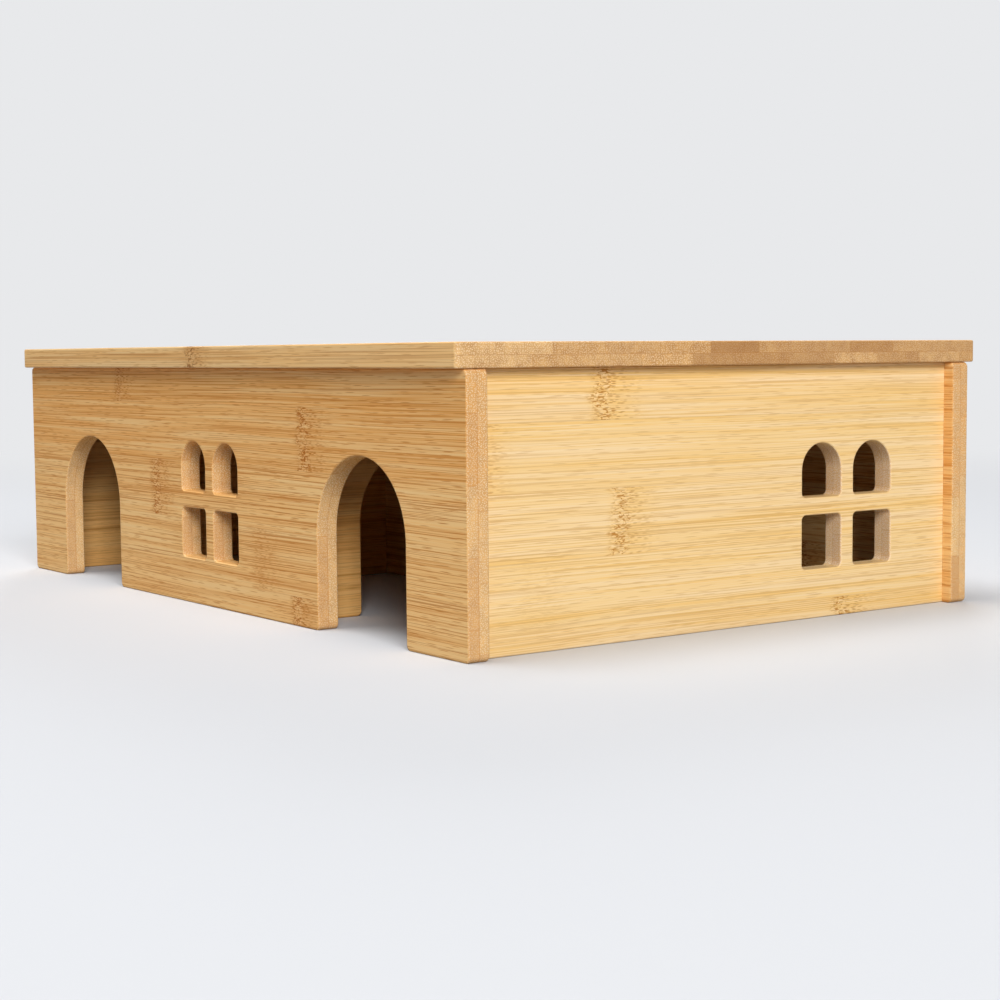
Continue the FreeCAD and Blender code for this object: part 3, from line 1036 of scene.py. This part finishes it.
class HAMSTER_OT_lid_cleats(bpy.types.Operator):
    """Four strips under the lid's corners that keep it between the walls"""

    bl_idname = "hamster_house.lid_cleats"
    bl_label = "Lid cleats"

    def execute(self, context):
        joinery = context.scene.hamster_joinery
        low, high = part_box("lid_cleat_front_left")
        material = bamboo(
            "sanded_bamboo_cleat", context.scene.hamster_side, context.scene.hamster_grain, LYING,
            (low + high) / 2, PLAIN_STRIPS, seed=67,
        )
        for row in ("front", "back"):
            for side in ("left", "right"):
                node = f"lid_cleat_{row}_{side}"
                finish_piece(self.cleat(node, joinery), node, "lid", material)
        return {"FINISHED"}

    def cleat(self, node, joinery):
        """A strip whose lower edges are rounded, so that the lid drops between the walls."""
        low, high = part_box(node)
        place = Matrix.Translation((low + high) / 2) @ Matrix.Diagonal(high - low).to_4x4()
        bm = bmesh.new()
        bmesh.ops.create_cube(bm, size=1, matrix=place)
        lower = [edge for edge in bm.edges if all(vert.co.z < low.z + joinery.arris for vert in edge.verts)]
        bmesh.ops.bevel(
            bm, geom=lower, affect="EDGES", offset=joinery.cleat_arris, offset_type="OFFSET",
            segments=ARRIS_STEPS + 1, profile=0.5, material=-1,
        )
        return as_object(bm, node.replace("lid_cleat", "cleat"))


class HAMSTER_OT_stage(bpy.types.Operator):
    """Pale floor, soft studio light and the camera"""

    bl_idname = "hamster_house.stage"
    bl_label = "Stage"

    def execute(self, context):
        stage = context.scene.hamster_stage
        self.floor(stage)
        self.sky(context.scene, stage)
        for name, power, size, place in SOFTBOXES:
            self.softbox(name, getattr(stage, power), size, place)
        self.camera(context.scene, stage)
        context.scene.view_settings.view_transform = "Standard"
        return {"FINISHED"}

    def floor(self, stage):
        """A large disc of matt paper that passes into the backdrop colour away from the house."""
        bm = bmesh.new()
        bmesh.ops.create_circle(bm, cap_ends=True, radius=FLOOR_RADIUS, segments=FLOOR_STEPS)
        floor = as_object(bm, "floor")
        floor.data.materials.append(self.matt_paper(stage))

    def matt_paper(self, stage):
        """Matt paper, which takes a soft shadow and has no sheen. The camera sees it paler than it sends
        light back up, and far out as the backdrop."""
        material, tree = empty_material("matt_paper")
        coordinates = add_node(tree, "ShaderNodeTexCoord")
        distance = add_node(
            tree, "ShaderNodeVectorMath", {0: coordinates.outputs["Object"]}, operation="LENGTH"
        )
        far = add_node(
            tree, "ShaderNodeMapRange",
            {"Value": distance.outputs["Value"], "From Min": BACKDROP_STARTS, "From Max": BACKDROP_FULL},
            **FADE,
        )
        seen = add_node(tree, "ShaderNodeLightPath").outputs["Is Camera Ray"]
        share = add_node(tree, "ShaderNodeMath", {0: far, 1: seen}, operation="MULTIPLY")
        colour = add_node(
            tree, "ShaderNodeMix",
            {"Factor": seen, "A": opaque(stage.floor_return), "B": opaque(stage.floor_colour)},
            data_type="RGBA",
        )
        paper = add_node(
            tree, "ShaderNodeBsdfPrincipled", {"Base Color": colour.outputs["Result"], "Roughness": 0.9}
        )
        glow = add_node(tree, "ShaderNodeEmission", {"Color": opaque(stage.backdrop_colour)})
        mixed = add_node(tree, "ShaderNodeMixShader", {0: share, 1: paper, 2: glow})
        add_node(tree, "ShaderNodeOutputMaterial", {"Surface": mixed})
        return material

    def sky(self, scene, stage):
        """Even light all round, which the camera sees in the backdrop colour."""
        world = bpy.data.worlds.new("studio")
        world.use_nodes = True
        tree = world.node_tree
        tree.nodes.clear()
        seen = add_node(tree, "ShaderNodeLightPath").outputs["Is Camera Ray"]
        light = add_node(
            tree, "ShaderNodeBackground", {"Color": (1, 1, 1, 1), "Strength": stage.sky_strength}
        )
        view = add_node(tree, "ShaderNodeBackground", {"Color": opaque(stage.backdrop_colour)})
        mixed = add_node(tree, "ShaderNodeMixShader", {0: seen, 1: light, 2: view})
        add_node(tree, "ShaderNodeOutputWorld", {"Surface": mixed})
        scene.world = world

    def softbox(self, name, power, size, place):
        """A square lamp that faces the house."""
        light = bpy.data.lights.new(name, "AREA")
        light.energy = power
        light.size = size
        lamp = bpy.data.objects.new(name, light)
        lamp.location = place
        lamp.rotation_euler = (-Vector(place)).to_track_quat("-Z", "Y").to_euler()
        bpy.context.scene.collection.objects.link(lamp)

    def camera(self, scene, stage):
        """The camera, which looks level at the back before it is turned, tilted and rolled."""
        data = bpy.data.cameras.new("camera")
        data.lens = stage.camera_lens
        data.sensor_width = SENSOR_WIDTH
        data.clip_start = NEAREST_SEEN
        camera = bpy.data.objects.new("camera", data)
        level = Matrix.Rotation(math.pi / 2, 4, "X")
        camera.matrix_world = (
            Matrix.Translation(stage.camera_place)
            @ Matrix.Rotation(stage.camera_yaw, 4, "Z")
            @ Matrix.Rotation(stage.camera_pitch, 4, "X")
            @ level
            @ Matrix.Rotation(stage.camera_roll, 4, "Z")
        )
        scene.collection.objects.link(camera)
        scene.camera = camera


class HAMSTER_PT_house(bpy.types.Panel):
    """Buttons for the pieces of the house and the stage"""

    bl_idname = "HAMSTER_PT_house"
    bl_label = "Hamster house"
    bl_space_type = "VIEW_3D"
    bl_region_type = "UI"
    bl_category = "Hamster house"

    def draw(self, context):
        for operator in OPERATORS:
            self.layout.operator(operator.bl_idname)
        for group_name, group_class in GROUPS.items():
            box = self.layout.box()
            for name in group_class.__annotations__:
                box.prop(getattr(context.scene, group_name), name)


GROUPS = {
    "hamster_joinery": HamsterHouseJoinery,
    "hamster_grain": HamsterHouseGrain,
    "hamster_front": HamsterHouseFrontBamboo,
    "hamster_side": HamsterHouseSideBamboo,
    "hamster_inner": HamsterHouseInnerBamboo,
    "hamster_lid": HamsterHouseLidBamboo,
    "hamster_stage": HamsterHouseStage,
}
OPERATORS = (
    HAMSTER_OT_front_panel,
    HAMSTER_OT_back_panel,
    HAMSTER_OT_side_panels,
    HAMSTER_OT_partitions,
    HAMSTER_OT_lid,
    HAMSTER_OT_lid_cleats,
    HAMSTER_OT_stage,
)


def register():
    for cls in (*GROUPS.values(), *OPERATORS, HAMSTER_PT_house):
        bpy.utils.register_class(cls)
    for name, cls in GROUPS.items():
        setattr(bpy.types.Scene, name, PointerProperty(type=cls))


def unregister():
    for name in GROUPS:
        delattr(bpy.types.Scene, name)
    for cls in reversed((*GROUPS.values(), *OPERATORS, HAMSTER_PT_house)):
        bpy.utils.unregister_class(cls)


def main():
    register()
    bpy.ops.hamster_house.front_panel()
    bpy.ops.hamster_house.back_panel()
    bpy.ops.hamster_house.side_panels()
    bpy.ops.hamster_house.partitions()
    bpy.ops.hamster_house.lid()
    bpy.ops.hamster_house.lid_cleats()
    bpy.ops.hamster_house.stage()


if __name__ == "__main__":
    main()
